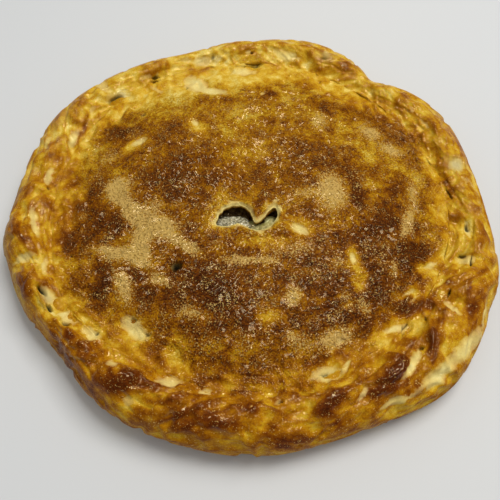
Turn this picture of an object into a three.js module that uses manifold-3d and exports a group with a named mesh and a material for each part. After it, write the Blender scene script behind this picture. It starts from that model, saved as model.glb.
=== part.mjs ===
// A round layered meat pie, about 300 mm across, baked on its own without a tin.
//
// Three pieces of food, all in millimetres with +Z up:
//   bottom_crust  the dough sheet under the pie, its wall and the rim that is folded in over the lid
//   lid_crust     the domed dough sheet on top, with its edge under the rim and a torn steam vent
//   filling       the meat, potato and onion that fill the pie and show in the vent
//
// The azimuth runs anticlockwise seen from above, from +X, in degrees. The origin is on the surface
// that the pie stands on, in the middle of its footprint's box.

import * as THREE from 'three';
import { mergeVertices } from 'three/addons/utils/BufferGeometryUtils.js';
import Module from 'manifold-3d';

// ---------------------------------------------------------------- driving dimensions

const PIE_RADIUS = 149; // mean outline radius, at the widest height of the wall
const WIDEST_HEIGHT = 12;
const CREASE_RADIUS = 120; // where the rim's lip meets the lid
const RIM_HEIGHT = 30;
const LIP_UNDERSIDE = 22.5; // the flat underside of the folded rim, over the lid's edge
const CRUST_THICKNESS = 4;
const CAVITY_BEYOND_CREASE = 8.4; // how far the inner wall lies outside the crease

const LID_THICKNESS = 3.5;
const LID_EDGE_TOP = 22; // the lid's flat edge, under the lip
const LID_CROWN = 40; // the lid's highest smooth height
const LID_FULLNESS = 0.8; // below 1 the dome has a flatter top and steeper sides
const LID_TUCK = 6; // how far the lid's edge runs under the lip
const LID_FLAT_INSIDE_CREASE = 3; // width of the level band that meets the lip

const FILLING_GAP = 1; // clearance between the filling and the crusts
const VENT_HOLLOW_DEPTH = 7; // how far the filling has sunk under the vent
const VENT_HOLLOW_REACH = 27;

const RIM_STEPS = 132; // facets round each piece
const LID_STEPS = 104;
const FILLING_STEPS = 64;

// ---------------------------------------------------------------- hand-shaped features

// Bulges and dips of the outline: where, how wide in degrees, and how far out in millimetres.
const OUTLINE_LOBES = [
  { at: 30, reach: 13, out: 5 },
  { at: 50, reach: 7, out: -7.5 },
  { at: 71, reach: 11, out: 4 },
  { at: 91, reach: 6, out: -2 },
  { at: 110, reach: 15, out: -7 },
  { at: 150, reach: 15, out: 4.4 },
  { at: 190, reach: 7, out: 3.4 },
  { at: 222, reach: 12, out: -6 },
  { at: 272, reach: 10, out: 1.5 },
  { at: 316, reach: 15, out: 10 },
  { at: 340, reach: 13, out: 7 },
];

// The crease wanders a little in and out.
const CREASE_LOBES = [
  { at: 52, reach: 16, out: -2 },
  { at: 130, reach: 14, out: 2 },
  { at: 212, reach: 12, out: 4 },
  { at: 250, reach: 14, out: -1.5 },
  { at: 294, reach: 10, out: -3 },
  { at: 352, reach: 18, out: 2.5 },
];

// The rim is higher in some places than in others.
const RIM_HEIGHT_LOBES = [
  { at: 45, reach: 12, out: -1.5 },
  { at: 75, reach: 14, out: 1.5 },
  { at: 110, reach: 14, out: -1 },
  { at: 191, reach: 8, out: 1.5 },
  { at: 220, reach: 12, out: -2 },
  { at: 242, reach: 8, out: 1.2 },
  { at: 318, reach: 16, out: 1 },
];

// Folds and pockets pinched into the dough. Each is an oval hump (lift above 0) or hollow, placed by
// azimuth and by its distance from the centre measured over the rim, with its half length, half
// width and lean from the rim's own direction: a negative lean runs inwards with the azimuth.
const FOLDS = [
  { at: 20, radius: 134, along: 16, across: 6, lean: 10, lift: 2.0 },
  { at: 11, radius: 133, along: 8, across: 6, lean: 0, lift: -2.6 },
  { at: 38, radius: 131, along: 13, across: 7, lean: -10, lift: 1.6 },
  { at: 50, radius: 134, along: 7, across: 12, lean: 0, lift: -2.0 },
  { at: 66, radius: 132, along: 17, across: 8, lean: 6, lift: 1.8 },
  { at: 80, radius: 126, along: 12, across: 4.5, lean: 0, lift: -1.6 },
  { at: 94, radius: 134, along: 14, across: 7, lean: 0, lift: 1.8 },
  { at: 105, radius: 126, along: 11, across: 4.5, lean: 4, lift: -1.6 },
  { at: 120, radius: 131, along: 14, across: 7, lean: 0, lift: 1.6 },
  { at: 138, radius: 127, along: 10, across: 5, lean: -12, lift: -2.4 },
  { at: 147, radius: 136, along: 12, across: 8, lean: 0, lift: 1.8 },
  { at: 163, radius: 128, along: 12, across: 5, lean: 0, lift: 1.6 },
  { at: 172, radius: 133, along: 6, across: 9, lean: 20, lift: -2.0 },
  { at: 188, radius: 128, along: 12, across: 4, lean: -8, lift: -1.8 },
  { at: 191, radius: 138, along: 13, across: 6.5, lean: -23, lift: 2.6 },
  { at: 199, radius: 139, along: 3.5, across: 11, lean: 8, lift: -3.0 },
  { at: 205, radius: 136, along: 8, across: 8, lean: 0, lift: 1.8 },
  { at: 212, radius: 127, along: 7, across: 5, lean: 25, lift: -3.4 },
  { at: 219, radius: 126, along: 7, across: 4, lean: -15, lift: -2.2 },
  { at: 227, radius: 134, along: 11, across: 7, lean: -10, lift: 1.8 },
  { at: 234, radius: 105, along: 10, across: 5, lean: -8, lift: -2.4 },
  { at: 240, radius: 133, along: 16, across: 6, lean: -25, lift: 2.8 },
  { at: 246, radius: 139, along: 8, across: 6, lean: -30, lift: -2.0 },
  { at: 250, radius: 120, along: 9, across: 4, lean: 0, lift: -2.2 },
  { at: 254, radius: 131, along: 10, across: 6, lean: 0, lift: 2.2 },
  { at: 264, radius: 139, along: 12, across: 6, lean: -12, lift: 1.8 },
  { at: 272, radius: 131, along: 12, across: 6, lean: 0, lift: 1.2 },
  { at: 280, radius: 135, along: 9, across: 5, lean: -30, lift: -1.8 },
  { at: 288, radius: 134, along: 13, across: 5, lean: -20, lift: 2.6 },
  { at: 292, radius: 119, along: 10, across: 4.5, lean: 5, lift: -2.6 },
  { at: 296, radius: 136, along: 8, across: 4, lean: -40, lift: -1.8 },
  { at: 304, radius: 134, along: 15, across: 5.5, lean: -20, lift: 3.0 },
  { at: 310, radius: 137, along: 12, across: 4, lean: -27, lift: -2.6 },
  { at: 316, radius: 122, along: 8, across: 4, lean: -20, lift: -2.2 },
  { at: 317, radius: 136, along: 12, across: 5, lean: -40, lift: 2.4 },
  { at: 328, radius: 136, along: 4, across: 8, lean: 10, lift: -2.2 },
  { at: 333, radius: 140, along: 8, across: 8, lean: 0, lift: 1.8 },
  { at: 341, radius: 133, along: 6, across: 8, lean: 0, lift: -2.4 },
  { at: 347, radius: 140, along: 9, across: 7, lean: 0, lift: 1.4 },
  { at: 350, radius: 132, along: 9, across: 4, lean: 20, lift: -1.6 },
  { at: 358, radius: 137, along: 10, across: 7, lean: -30, lift: 1.6 },
];

// Broad swells and dips of the lid: centre, reach and lift.
const LID_SWELLS = [
  { x: -62, y: 42, reach: 30, lift: 1.6 },
  { x: -75, y: -30, reach: 24, lift: -1.4 },
  { x: -20, y: -72, reach: 30, lift: 1.8 },
  { x: 55, y: -62, reach: 24, lift: 1.0 },
  { x: 68, y: -24, reach: 22, lift: 1.6 },
  { x: 78, y: 28, reach: 26, lift: -1.0 },
  { x: 20, y: 62, reach: 30, lift: -1.2 },
  { x: 40, y: 12, reach: 22, lift: 1.2 },
  { x: -28, y: -34, reach: 12, lift: 1.2 },
  { x: 2, y: 92, reach: 18, lift: 1.4 },
];

// The torn edge of the steam vent, anticlockwise from its right end. A tongue of dough hangs
// between its two lobes.
const VENT_CENTRE = { x: 0, y: -21 };
const VENT_EDGE = [
  [17, -18], [15, -13.5], [11, -17.5], [7.5, -21.5], [3.5, -23], [1.5, -17.5], [-2.5, -13.5],
  [-8, -13], [-13.5, -15], [-17, -19], [-18.5, -26.5], [-12, -27], [-5.5, -25.5], [0.5, -28.3],
  [6, -29.5], [11.5, -27.5], [15.8, -22.5],
];
const VENT_TONGUE = { x: 4, y: -20, reach: 6, drop: 3 };
const VENT_COLLAR = { halfLength: 27, halfWidth: 17 }; // the oval where the lid's facets turn regular

// Lumps of the filling that show in the vent: size is half the length along each side.
const FILLING_LUMPS = [
  { kind: 'meat', x: -9, y: -23, lift: 0.5, size: [7.5, 5, 4], turn: 20 },
  { kind: 'meat', x: -14, y: -13, lift: 0, size: [6, 5, 3.5], turn: 70 },
  { kind: 'potato', x: -2, y: -10, lift: 0, size: [5, 4, 3.5], turn: 35 },
  { kind: 'potato', x: 15, y: -24, lift: 0.3, size: [4.5, 3.5, 3], turn: -20 },
  { kind: 'meat', x: 13, y: -14, lift: 0, size: [6, 4, 3.5], turn: -50 },
  { kind: 'onion', x: 5, y: -28.5, lift: 0.6, size: [6.5, 2.6, 1.6], turn: 12 },
  { kind: 'meat', x: -5, y: -33, lift: 0, size: [6, 4.5, 2.5], turn: 5 },
];
const LUMP_ROUND_DETAIL = 1;

// ---------------------------------------------------------------- materials

const bakedRim = new THREE.MeshStandardMaterial({ color: 0xc08a2c, roughness: 0.42, metalness: 0 });
const brownedLid = new THREE.MeshStandardMaterial({ color: 0x9a6420, roughness: 0.4, metalness: 0 });
const stewedFilling = new THREE.MeshStandardMaterial({ color: 0x8c8468, roughness: 0.3, metalness: 0 });

// ---------------------------------------------------------------- small helpers

const FULL_TURN = 360;

function radians(degrees) {
  return THREE.MathUtils.degToRad(degrees);
}

function turnBetween(from, to) {
  return THREE.MathUtils.euclideanModulo(to - from + FULL_TURN / 2, FULL_TURN) - FULL_TURN / 2;
}

function hump(distance, reach) {
  return Math.exp(-((distance / reach) ** 2));
}

function sumOfLobes(lobes, azimuth) {
  return lobes.reduce((sum, lobe) => sum + lobe.out * hump(turnBetween(lobe.at, azimuth), lobe.reach), 0);
}

function polar(azimuth, radius, height) {
  return [radius * Math.cos(radians(azimuth)), radius * Math.sin(radians(azimuth)), height];
}

function azimuthOf(x, y) {
  return THREE.MathUtils.radToDeg(Math.atan2(y, x));
}

// ---------------------------------------------------------------- the pie's form

function outlineRadius(azimuth) {
  return PIE_RADIUS + sumOfLobes(OUTLINE_LOBES, azimuth);
}

function creaseRadius(azimuth) {
  return CREASE_RADIUS + sumOfLobes(CREASE_LOBES, azimuth);
}

// The relief of the folds at a place given by azimuth and distance over the rim.
function foldRelief(azimuth, reachOut) {
  return FOLDS.reduce((relief, fold) => {
    const round = radians(turnBetween(fold.at, azimuth)) * fold.radius;
    const out = reachOut - fold.radius;
    const lean = radians(fold.lean);
    const along = round * Math.cos(lean) + out * Math.sin(lean);
    const across = out * Math.cos(lean) - round * Math.sin(lean);
    return relief + fold.lift * hump(along, fold.along) * hump(across, fold.across);
  }, 0);
}

function swellRelief(x, y) {
  return LID_SWELLS.reduce((relief, swell) => {
    return relief + swell.lift * hump(Math.hypot(x - swell.x, y - swell.y), swell.reach);
  }, 0);
}

// 0 where the lid lies flat under the lip, 1 in its middle.
function domeShare(x, y) {
  const flatFrom = creaseRadius(azimuthOf(x, y)) - LID_FLAT_INSIDE_CREASE;
  const share = Math.min(Math.hypot(x, y) / flatFrom, 1);
  return (1 - share ** 2) ** LID_FULLNESS;
}

function smoothDome(x, y) {
  return LID_EDGE_TOP + (LID_CROWN - LID_EDGE_TOP) * domeShare(x, y);
}

function tongueDrop(x, y) {
  return VENT_TONGUE.drop * hump(Math.hypot(x - VENT_TONGUE.x, y - VENT_TONGUE.y), VENT_TONGUE.reach);
}

function lidTop(x, y) {
  const fade = Math.min(domeShare(x, y) * 5, 1);
  const relief = foldRelief(azimuthOf(x, y), Math.hypot(x, y)) + swellRelief(x, y);
  return smoothDome(x, y) + fade * relief - tongueDrop(x, y);
}

function lidUnderside(x, y) {
  return smoothDome(x, y) - LID_THICKNESS - tongueDrop(x, y);
}

// ---------------------------------------------------------------- closed bodies from rings

// Rings of equal length become one closed surface. Between two poles they make a ball, and with
// none the last ring joins the first and they make a doughnut.
function bodyFromRings(rings, bottomPole, topPole) {
  const steps = rings[0].length;
  const places = rings.flat();
  const faces = [];
  const corner = (ring, step) => (ring % rings.length) * steps + (step % steps);
  const bands = bottomPole ? rings.length - 1 : rings.length;
  for (let ring = 0; ring < bands; ring += 1) {
    for (let step = 0; step < steps; step += 1) {
      const near = corner(ring, step);
      const nearNext = corner(ring, step + 1);
      const far = corner(ring + 1, step);
      const farNext = corner(ring + 1, step + 1);
      faces.push(near, nearNext, farNext, near, farNext, far);
    }
  }
  if (bottomPole) {
    const bottom = places.push(bottomPole) - 1;
    const top = places.push(topPole) - 1;
    for (let step = 0; step < steps; step += 1) {
      faces.push(bottom, corner(0, step + 1), corner(0, step));
      faces.push(top, corner(rings.length - 1, step), corner(rings.length - 1, step + 1));
    }
  }
  const geometry = new THREE.BufferGeometry();
  geometry.setAttribute('position', new THREE.Float32BufferAttribute(places.flat(), 3));
  geometry.setIndex(faces);
  return geometry;
}

function azimuths(steps) {
  return Array.from({ length: steps }, (_, step) => (FULL_TURN * step) / steps);
}

function spread(from, to, count) {
  return Array.from({ length: count }, (_, step) => from + ((to - from) * step) / (count - 1));
}

// ---------------------------------------------------------------- bottom crust

const OUTSIDE_BANDS = 15;
const FOLDS_FADE_AT_BASE = 9; // folds die away over this much height above the base
const FOLDS_FADE_AT_LIP = 4; // and over this much above the lip's edge
const LIP_EDGE = 2; // radius of the lip's rounded edge

// The outside of the crust at one azimuth, from the base edge up the wall, over the rim to its lip.
function outsideSection(azimuth) {
  const outline = outlineRadius(azimuth);
  const crease = creaseRadius(azimuth);
  const width = outline - crease;
  const top = RIM_HEIGHT + sumOfLobes(RIM_HEIGHT_LOBES, azimuth);
  const guide = [
    [outline - 14, 0],
    [outline - 5, 3.2],
    [outline, WIDEST_HEIGHT],
    [outline - 2.5, top - 9],
    [crease + 0.72 * width, top - 2.5],
    [crease + 0.45 * width, top],
    [crease + 0.2 * width, top - 1.8],
    [crease + 0.06 * width, top - 3.8],
    [crease, LIP_UNDERSIDE + LIP_EDGE],
  ];
  const curve = new THREE.SplineCurve(guide.map(([radius, height]) => new THREE.Vector2(radius, height)));
  return curve.getSpacedPoints(OUTSIDE_BANDS);
}

// How far each point of the section is from the centre, measured over the rim: straight across as far
// as the rim's top, and from there on along the section, down the wall.
function reachOverRim(section) {
  const heights = section.map((point) => point.y);
  const topIndex = heights.indexOf(Math.max(...heights));
  const step = section[0].distanceTo(section[1]);
  return section.map((point, index) => {
    const downTheWall = (topIndex - index) * step;
    return downTheWall > 0 ? section[topIndex].x + downTheWall : point.x;
  });
}

// The share of the folds' relief at a point: none at the base and at the lip's edge.
function foldShare(point, onWall) {
  const aboveBase = point.y / FOLDS_FADE_AT_BASE;
  const aboveLip = (point.y - LIP_UNDERSIDE - LIP_EDGE) / FOLDS_FADE_AT_LIP;
  return THREE.MathUtils.clamp(onWall ? aboveBase : aboveLip, 0, 1);
}

function foldedOutside(azimuth) {
  const section = outsideSection(azimuth);
  const reaches = reachOverRim(section);
  return section.map((point, index) => {
    const before = section[Math.max(index - 1, 0)];
    const after = section[Math.min(index + 1, section.length - 1)];
    const slope = after.clone().sub(before).normalize();
    const onWall = reaches[index] > point.x;
    const relief = foldRelief(azimuth, reaches[index]) * foldShare(point, onWall);
    return [point.x + slope.y * relief, point.y - slope.x * relief];
  });
}

function bottomCrust() {
  const columns = azimuths(RIM_STEPS).map((azimuth) => {
    const innerWall = creaseRadius(azimuth) + CAVITY_BEYOND_CREASE;
    const inside = [
      [creaseRadius(azimuth) + LIP_EDGE, LIP_UNDERSIDE],
      [innerWall, LIP_UNDERSIDE],
      [innerWall + 0.6, LIP_UNDERSIDE / 2],
      [innerWall - 3, CRUST_THICKNESS],
    ];
    return [...foldedOutside(azimuth), ...inside].map(([radius, height]) => polar(azimuth, radius, height));
  });
  const rings = columns[0].map((_, ring) => columns.map((column) => column[ring]));
  return bodyFromRings(rings, [0, 0, 0], [0, 0, CRUST_THICKNESS]);
}

// ---------------------------------------------------------------- lid crust

const COLLAR_BANDS = 4;
const DOME_BANDS = 9;
const UNDERSIDE_BANDS = 8;

function ventEdge() {
  const corners = VENT_EDGE.map(([x, y]) => new THREE.Vector3(x, y, 0));
  return new THREE.CatmullRomCurve3(corners, true).getSpacedPoints(LID_STEPS).slice(0, LID_STEPS);
}

function ventCollar() {
  return azimuths(LID_STEPS).map((azimuth) => new THREE.Vector3(
    VENT_CENTRE.x + VENT_COLLAR.halfLength * Math.cos(radians(azimuth)),
    VENT_CENTRE.y + VENT_COLLAR.halfWidth * Math.sin(radians(azimuth)),
    0,
  ));
}

function lidEdge(beyondCrease) {
  return azimuths(LID_STEPS).map((azimuth) => {
    return new THREE.Vector3(...polar(azimuth, creaseRadius(azimuth) + beyondCrease, 0));
  });
}

function between(inner, outer, share) {
  return inner.map((point, step) => point.clone().lerp(outer[step], share));
}

function lidCrust() {
  const vent = ventEdge();
  const collar = ventCollar();
  const flatBand = lidEdge(-LID_FLAT_INSIDE_CREASE);
  const tucked = lidEdge(LID_TUCK);
  const onTop = (point) => [point.x, point.y, lidTop(point.x, point.y)];
  const below = (point) => [point.x, point.y, lidUnderside(point.x, point.y)];
  const middle = (point) => [point.x, point.y, (lidTop(point.x, point.y) + lidUnderside(point.x, point.y)) / 2];

  const ventToCollar = spread(0.06, 1, COLLAR_BANDS).map((share) => between(vent, collar, share));
  const collarToBand = spread(0, 1, DOME_BANDS).slice(1).map((share) => between(collar, flatBand, share ** 0.9));
  const top = [...ventToCollar, ...collarToBand, tucked];
  const underside = [
    between(vent, collar, 0.06),
    ...spread(0, 1, UNDERSIDE_BANDS).map((share) => between(collar, flatBand, share ** 0.7)),
    tucked,
  ];
  const edge = lidEdge(LID_TUCK + 0.6).map(middle);
  const rings = [
    ...underside.map((ring) => ring.map(below)),
    edge,
    ...top.reverse().map((ring) => ring.map(onTop)),
    vent.map(middle),
  ];
  return bodyFromRings(rings);
}

// ---------------------------------------------------------------- filling

const FILLING_BANDS = 12;

function fillingTop(x, y) {
  const fromVent = Math.hypot(x - VENT_CENTRE.x, y - VENT_CENTRE.y);
  const hollow = VENT_HOLLOW_DEPTH * Math.exp(-((fromVent / VENT_HOLLOW_REACH) ** 4));
  return smoothDome(x, y) - LID_THICKNESS - FILLING_GAP - hollow;
}

function fillingBody() {
  const wall = (inset, height) => azimuths(FILLING_STEPS).map((azimuth) => {
    return polar(azimuth, creaseRadius(azimuth) + CAVITY_BEYOND_CREASE - inset, height);
  });
  const centre = azimuths(FILLING_STEPS).map(() => new THREE.Vector3(VENT_CENTRE.x, VENT_CENTRE.y, 0));
  const brim = azimuths(FILLING_STEPS).map((azimuth) => {
    return new THREE.Vector3(...polar(azimuth, creaseRadius(azimuth) - LID_FLAT_INSIDE_CREASE, 0));
  });
  const topRings = spread(1, 0, FILLING_BANDS).slice(0, -1).map((share) => {
    return between(centre, brim, share).map((point) => [point.x, point.y, fillingTop(point.x, point.y)]);
  });
  const floor = CRUST_THICKNESS + FILLING_GAP;
  const brimHeight = LID_EDGE_TOP - LID_THICKNESS - FILLING_GAP;
  const rings = [wall(4.5, floor), wall(1, floor + 4), wall(1.5, brimHeight), ...topRings];
  const middleHeight = fillingTop(VENT_CENTRE.x, VENT_CENTRE.y);
  return bodyFromRings(rings, [0, 0, floor], [VENT_CENTRE.x, VENT_CENTRE.y, middleHeight]);
}

function lumpGeometry(lump) {
  const shape = lump.kind === 'potato'
    ? new THREE.BoxGeometry(2, 2, 2)
    : new THREE.IcosahedronGeometry(1, LUMP_ROUND_DETAIL);
  shape.scale(...lump.size);
  shape.rotateX(radians(lump.turn / 4));
  shape.rotateZ(radians(lump.turn));
  shape.translate(lump.x, lump.y, fillingTop(lump.x, lump.y) + lump.lift);
  return shape;
}

function filling(wasm) {
  const asSolid = (geometry) => {
    const bare = geometry.clone();
    bare.deleteAttribute('normal');
    bare.deleteAttribute('uv');
    const merged = mergeVertices(bare);
    const vertProperties = new Float32Array(merged.attributes.position.array);
    const triVerts = new Uint32Array(merged.index.array);
    return new wasm.Manifold(new wasm.Mesh({ numProp: 3, vertProperties, triVerts }));
  };
  const joined = FILLING_LUMPS.reduce((solid, lump) => {
    return solid.add(asSolid(lumpGeometry(lump)));
  }, asSolid(fillingBody()));
  const mesh = joined.getMesh();
  const geometry = new THREE.BufferGeometry();
  geometry.setAttribute('position', new THREE.BufferAttribute(mesh.vertProperties, 3));
  geometry.setIndex(new THREE.BufferAttribute(mesh.triVerts, 1));
  return geometry;
}

// ---------------------------------------------------------------- the pie

function named(name, geometry, material) {
  geometry.computeVertexNormals();
  const mesh = new THREE.Mesh(geometry, material);
  mesh.name = name;
  return mesh;
}

const wasm = await Module();
wasm.setup();

const pie = new THREE.Group();
pie.add(named('bottom_crust', bottomCrust(), bakedRim));
pie.add(named('lid_crust', lidCrust(), brownedLid));
pie.add(named('filling', filling(wasm), stewedFilling));

const footprint = new THREE.Box3().setFromObject(pie).getCenter(new THREE.Vector3());
pie.position.set(-footprint.x, -footprint.y, 0);

export default pie;
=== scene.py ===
"""A round layered meat pie: its fine crust, its browning with painted light and shade, and the filling in
its steam vent.

Lengths are in millimetres until a mesh is made, and angles in degrees. An azimuth runs anticlockwise
seen from above, from +X. A place on the crust is given by its azimuth and its reach: the distance
from the pie's axis measured straight across as far as the rim's top, and from there down the wall.
"""

import math

import bpy
import numpy as np
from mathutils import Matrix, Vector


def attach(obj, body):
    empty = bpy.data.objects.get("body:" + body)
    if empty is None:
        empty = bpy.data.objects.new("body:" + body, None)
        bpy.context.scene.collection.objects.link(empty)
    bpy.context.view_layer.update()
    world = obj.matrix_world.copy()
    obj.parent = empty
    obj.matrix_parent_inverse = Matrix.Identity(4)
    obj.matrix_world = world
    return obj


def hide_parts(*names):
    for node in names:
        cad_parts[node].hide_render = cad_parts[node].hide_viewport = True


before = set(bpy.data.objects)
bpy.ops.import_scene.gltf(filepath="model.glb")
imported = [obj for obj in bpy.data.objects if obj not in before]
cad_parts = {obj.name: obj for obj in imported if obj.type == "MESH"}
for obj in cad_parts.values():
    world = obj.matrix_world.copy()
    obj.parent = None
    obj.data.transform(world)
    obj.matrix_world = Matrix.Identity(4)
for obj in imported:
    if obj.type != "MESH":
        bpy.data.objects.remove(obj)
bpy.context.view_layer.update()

METRES = 0.001

# ---- dimensions shared with the solids

AXIS_X, AXIS_Y = 0.005, 0.924  # the pie's axis in the frame, whose box is centred instead

PIE_RADIUS = 149
WIDEST_HEIGHT = 12
CREASE_RADIUS = 120
RIM_HEIGHT = 30
LIP_UNDERSIDE = 22.5
LIP_EDGE = 2
CRUST_THICKNESS = 4
CAVITY_BEYOND_CREASE = 8.4

LID_THICKNESS = 3.5
LID_EDGE_TOP = 22
LID_CROWN = 40
LID_FULLNESS = 0.8
LID_TUCK = 6
LID_FLAT_INSIDE_CREASE = 3

FILLING_GAP = 1
VENT_HOLLOW_DEPTH = 7
VENT_HOLLOW_REACH = 27

# azimuth, reach, out
OUTLINE_LOBES = [
    (30, 13, 5), (50, 7, -7.5), (71, 11, 4), (91, 6, -2), (110, 15, -7), (150, 15, 4.4),
    (190, 7, 3.4), (222, 12, -6), (272, 10, 1.5), (316, 15, 10), (340, 13, 7),
]
CREASE_LOBES = [(52, 16, -2), (130, 14, 2), (212, 12, 4), (250, 14, -1.5), (294, 10, -3), (352, 18, 2.5)]
SPREAD_LOBES = [(315, 24, 1), (270, 22, 0.5), (235, 20, 0.4)]  # where the base spreads on the counter
RIM_HEIGHT_LOBES = [
    (45, 12, -1.5), (75, 14, 1.5), (110, 14, -1), (191, 8, 1.5), (220, 12, -2), (242, 8, 1.2), (318, 16, 1),
]

# azimuth, reach, half length, half width, lean, lift
FOLDS = [
    (20, 134, 16, 6, 10, 2.0), (11, 133, 8, 6, 0, -2.6), (38, 131, 13, 7, -10, 1.6),
    (50, 134, 7, 12, 0, -2.0), (66, 132, 17, 8, 6, 1.8), (80, 126, 12, 4.5, 0, -1.6),
    (94, 134, 14, 7, 0, 1.8), (105, 126, 11, 4.5, 4, -1.6), (120, 131, 14, 7, 0, 1.6),
    (138, 127, 10, 5, -12, -2.4), (147, 136, 12, 8, 0, 1.8), (163, 128, 12, 5, 0, 1.6),
    (172, 133, 6, 9, 20, -2.0), (188, 128, 12, 4, -8, -1.8), (191, 138, 13, 6.5, -23, 2.6),
    (199, 139, 3.5, 11, 8, -3.0), (205, 136, 8, 8, 0, 1.8), (212, 127, 7, 5, 25, -3.4),
    (219, 126, 7, 4, -15, -2.2), (227, 134, 11, 7, -10, 1.8), (234, 105, 10, 5, -8, -2.4),
    (240, 133, 16, 6, -25, 2.8), (246, 139, 8, 6, -30, -2.0), (250, 120, 9, 4, 0, -2.2),
    (254, 131, 10, 6, 0, 2.2), (264, 139, 12, 6, -12, 1.8), (272, 131, 12, 6, 0, 1.2),
    (280, 135, 9, 5, -30, -1.8), (288, 134, 13, 5, -20, 2.6), (292, 119, 10, 4.5, 5, -2.6),
    (296, 136, 8, 4, -40, -1.8), (304, 134, 15, 5.5, -20, 3.0), (310, 137, 12, 4, -27, -2.6),
    (316, 122, 8, 4, -20, -2.2), (317, 136, 12, 5, -40, 2.4), (328, 136, 4, 8, 10, -2.2),
    (333, 140, 8, 8, 0, 1.8), (341, 133, 6, 8, 0, -2.4), (347, 140, 9, 7, 0, 1.4),
    (350, 132, 9, 4, 20, -1.6), (358, 137, 10, 7, -30, 1.6),
]

# x, y, reach, lift
LID_SWELLS = [
    (-62, 42, 30, 1.6), (-75, -30, 24, -1.4), (-20, -72, 30, 1.8), (55, -62, 24, 1.0), (68, -24, 22, 1.6),
    (78, 28, 26, -1.0), (20, 62, 30, -1.2), (40, 12, 22, 1.2), (-28, -34, 12, 1.2), (2, 92, 18, 1.4),
]
VENT_TONGUE = [(4, -20, 6, -3)]

VENT_CENTRE = (0, -21)
VENT_EDGE = [
    (17, -18), (15, -13.5), (11, -17.5), (7.5, -21.5), (3.5, -23), (1.5, -17.5), (-2.5, -13.5),
    (-8, -13), (-13.5, -15), (-17, -19), (-18.5, -26.5), (-12, -27), (-5.5, -25.5), (0.5, -28.3),
    (6, -29.5), (11.5, -27.5), (15.8, -22.5),
]
VENT_COLLAR = (27, 17)  # half length and half width

# ---- dimensions of the fine crust

FOLDS_FADE_AT_BASE = 9
FOLDS_FADE_AT_LIP = 4
FOLDS_LEFT_AT_LIP = 0.6  # the folds run on into the lid
VALLEY_HEIGHT = 24.6  # the lid runs into the rim at this height
VALLEY_ROUNDING = 0.7
VENT_TEAR = 0.45
NEAR_VENT = VENT_COLLAR[0] + 15
FAR_FROM_VENT = 100.0
INWARDS = 0.3  # small relief lies mostly below the solids' faces
MOST_PROUD = 0.9
MOST_PROUD_OF_WALL = -0.1
HOLLOW_OF_PALE_DOUGH = 0.9  # how far raw patches lie below what is round them
SWELL_OF_DARK_DOUGH = 0.5
DEPTH_OF_HOLES = 2.5
LAP_SHARE = 0.9  # of a pleat's depth
LAP_WIDTH = 3.5

# ---- fineness of the meshes

RIM_STEPS = 960
RIM_BANDS = 92
LID_STEPS = 720
LID_COLLAR_BANDS = 22
LID_DOME_BANDS = 98
FILLING_STEPS = 240
LUMP_STEPS = 40
LUMP_RINGS = 24
VENT_CURVE_SAMPLES = 24
VENT_STEPS_FOR_DISTANCE = 360

# ---- small helpers


def hump(distance, reach):
    return np.exp(-((distance / reach) ** 2))


def turn_between(start, end):
    return (end - start + 180.0) % 360.0 - 180.0


def sum_of_lobes(lobes, azimuth):
    return sum(out * hump(turn_between(at, azimuth), reach) for at, reach, out in lobes)


def round_humps(humps, x, y):
    return sum(lift * hump(np.hypot(x - at_x, y - at_y), reach) for at_x, at_y, reach, lift in humps)


def smooth_step(low, high, value):
    share = np.clip((value - low) / (high - low), 0, 1)
    return share * share * (3 - 2 * share)


def between(start, end, share):
    return start + (end - start) * share


def turned(x, y, turn=0):
    """The distances x and y, measured along and across a direction that lies at a turn from x."""
    cos, sin = math.cos(math.radians(turn)), math.sin(math.radians(turn))
    return x * cos + y * sin, y * cos - x * sin


def oval_distance(x, y, half_length, half_width, turn=0):
    """Distance from an oval's centre, in its own half lengths: 1 on its edge."""
    along, across = turned(x, y, turn)
    return np.hypot(along / half_length, across / half_width)


def patch_cover(x, y, edge, half_length, half_width, strength, turn=0):
    """How strongly a patch covers places at x and y from its middle. A high edge ends it sharply."""
    return strength * np.exp(-(oval_distance(x, y, half_length, half_width, turn) ** edge))


def azimuths_round(count):
    return np.arange(count) * 360.0 / count


def ring_places(radius, azimuth, height):
    around = np.radians(azimuth)
    ring = np.broadcast_arrays(radius * np.cos(around), radius * np.sin(around), height)
    return np.stack(ring, axis=-1)


NOISE_TABLE = 256


def noise(places, size, seed):
    """Smooth noise, mostly from -1 to 1, with bumps about size across."""
    rng = np.random.default_rng(seed)
    order = rng.permutation(NOISE_TABLE)
    slopes = rng.normal(size=(NOISE_TABLE, 3))
    slopes /= np.linalg.norm(slopes, axis=1, keepdims=True)
    cells = places / size
    lowest = np.floor(cells).astype(int)
    share = cells - lowest
    eased = share**3 * (share * (share * 6 - 15) + 10)
    total = np.zeros(len(places))
    for corner in np.ndindex(2, 2, 2):
        x, y, z = (lowest + corner).T % NOISE_TABLE
        picked = order[(order[(order[x] + y) % NOISE_TABLE] + z) % NOISE_TABLE]
        value = (slopes[picked] * (share - corner)).sum(axis=1)
        total += value * np.prod(np.where(np.array(corner) == 1, eased, 1 - eased), axis=1)
    return total * 2.0


def layered(places, layers):
    """A sum of noises, each given by its height, size and seed."""
    return sum(height * noise(places, size, seed) for height, size, seed in layers)


def warp_of(places, layers_each_way):
    return np.stack([layered(places, layers) for layers in layers_each_way])


def swirled(places, size, seed):
    """Noise whose bumps are drawn into swirls, as stretched dough has."""
    push = np.stack([noise(places, size * 1.5, seed + 50 + axis) for axis in range(3)], axis=1)
    return noise(places + push * size * 0.9, size, seed)


def crisp(value):
    """Noise with flat highs and lows and clear edges between them."""
    return np.tanh(value * 2.8)


def ridges(places, size, seed):
    """Swirled noise with sharp ridges at 1, and 0 on average."""
    return 0.6 - 2.4 * np.abs(swirled(places, size, seed))


# ---- the pie's form


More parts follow.
